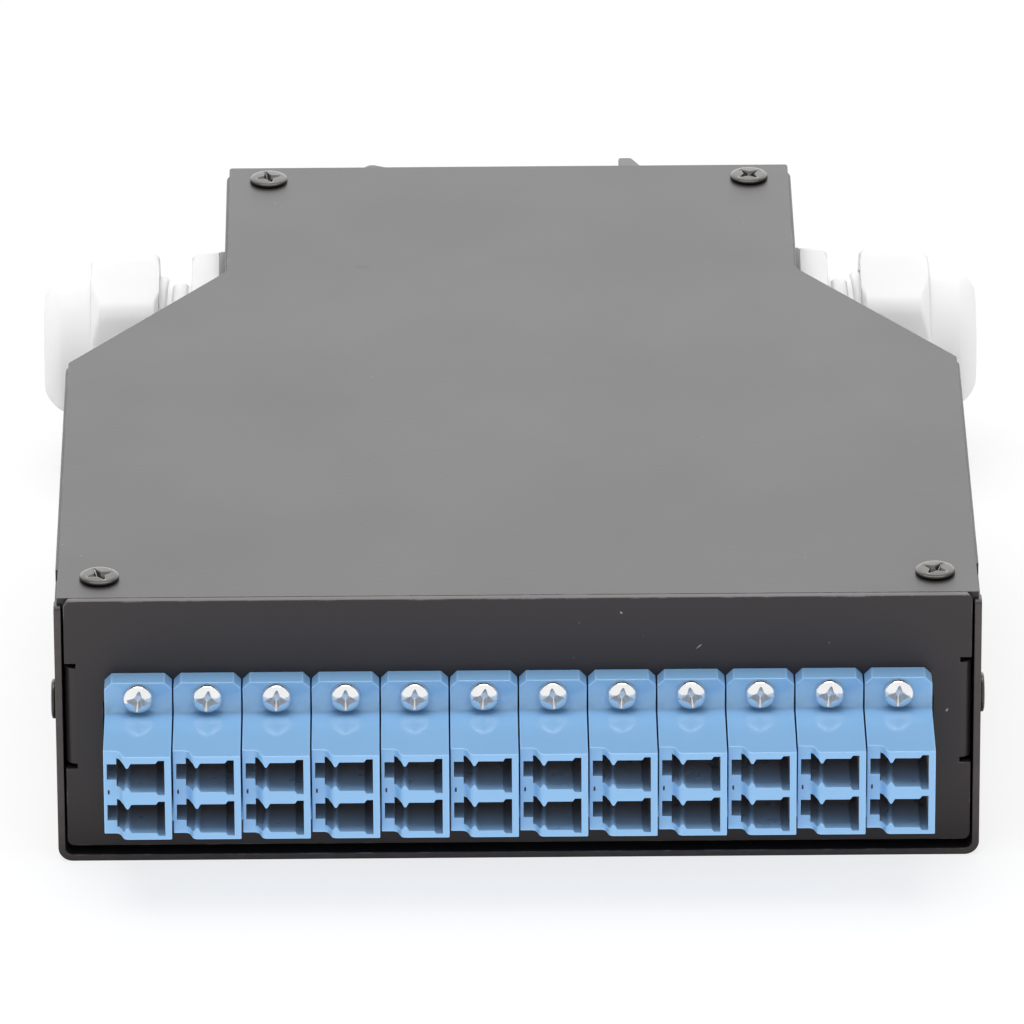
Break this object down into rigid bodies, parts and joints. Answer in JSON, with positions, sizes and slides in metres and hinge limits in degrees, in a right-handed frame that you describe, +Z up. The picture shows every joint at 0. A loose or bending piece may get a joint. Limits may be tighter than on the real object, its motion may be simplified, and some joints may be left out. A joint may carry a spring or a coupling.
{
  "type": "din rail fibre box",
  "caption": "Sheet-metal fibre termination box for a top-hat rail, with a row of duplex adapters in front, a narrowed neck with cable glands and a sprung rail clip behind.",
  "frame": {"origin": "middle of the base's flat underside", "axes": "+X right, +Y from the adapters towards the rail, +Z up out of the lid"},
  "size_m": [0.1364, 0.1739, 0.0407],
  "materials": {
    "case_coat": "satin charcoal powder coat on folded sheet steel",
    "adapter_plastic": "glossy moulded sky-blue plastic",
    "ceramic": "polished white ceramic",
    "bright_screw": "bright zinc plate",
    "dark_screw": "black oxide",
    "gland_nylon": "white moulded nylon with a soft sheen",
    "washer_rubber": "grey rubber",
    "seal_rubber": "black rubber",
    "clip_plastic": "black moulded nylon",
    "spring_steel": "plain spring steel strip",
    "tray_plastic": "light grey moulded plastic",
    "comb_plastic": "dark moulded plastic"
  },
  "bodies": {
    "box": {"adapter_01": "adapter_plastic", "adapter_02": "adapter_plastic", "adapter_03": "adapter_plastic", "adapter_04": "adapter_plastic", "adapter_05": "adapter_plastic", "adapter_06": "adapter_plastic", "adapter_07": "adapter_plastic", "adapter_08": "adapter_plastic", "adapter_09": "adapter_plastic", "adapter_10": "adapter_plastic", "adapter_11": "adapter_plastic", "adapter_12": "adapter_plastic", "adapter_screws": "bright_screw", "alignment_sleeves": "ceramic", "base_tray": "case_coat", "clip_body": "clip_plastic", "clip_screws": "bright_screw", "clip_spring": "spring_steel", "front_panel": "case_coat", "gland_left_body": "gland_nylon", "gland_left_locknut": "gland_nylon", "gland_left_washer": "washer_rubber", "gland_right_body": "gland_nylon", "gland_right_locknut": "gland_nylon", "gland_right_washer": "washer_rubber", "lid": "case_coat", "lid_screws": "dark_screw", "panel_screws": "dark_screw", "splice_comb_left": "comb_plastic", "splice_comb_right": "comb_plastic", "splice_tray": "tray_plastic", "tray_screws": "bright_screw", "tray_standoffs": "bright_screw"},
    "left_seal": {"gland_left_seal": "seal_rubber"},
    "left_nut": {"gland_left_nut": "gland_nylon"},
    "right_seal": {"gland_right_seal": "seal_rubber"},
    "right_nut": {"gland_right_nut": "gland_nylon"},
    "latch": {"clip_latch": "clip_plastic"}
  },
  "joints": [
    {"name": "left_seal_slide", "type": "slide", "parent": "box", "child": "left_seal", "axis": [-1, 0, 0], "range_m": [-0.0031, 0.0031]},
    {"name": "left_nut_turn", "type": "hinge", "parent": "left_seal", "child": "left_nut", "pos_m": [-0.0415, 0.05425, 0.02], "axis": [-1, 0, 0], "range_deg": [-360, 360]},
    {"name": "right_seal_slide", "type": "slide", "parent": "box", "child": "right_seal", "axis": [1, 0, 0], "range_m": [-0.0031, 0.0031]},
    {"name": "right_nut_turn", "type": "hinge", "parent": "right_seal", "child": "right_nut", "pos_m": [0.0415, 0.05425, 0.02], "axis": [1, 0, 0], "range_deg": [-360, 360]},
    {"name": "latch_slide", "type": "slide", "parent": "box", "child": "latch", "axis": [1, 0, 0], "range_m": [0, 0.003], "stiffness_N_per_m": 1200, "springref_m": -0.002, "deforming": ["clip_spring"]}
  ],
  "couplings": [
    {"joint": "left_seal_slide", "follows": "left_nut_turn", "m_per_rad": 0.00047746},
    {"joint": "right_seal_slide", "follows": "right_nut_turn", "m_per_rad": 0.00047746}
  ]
}
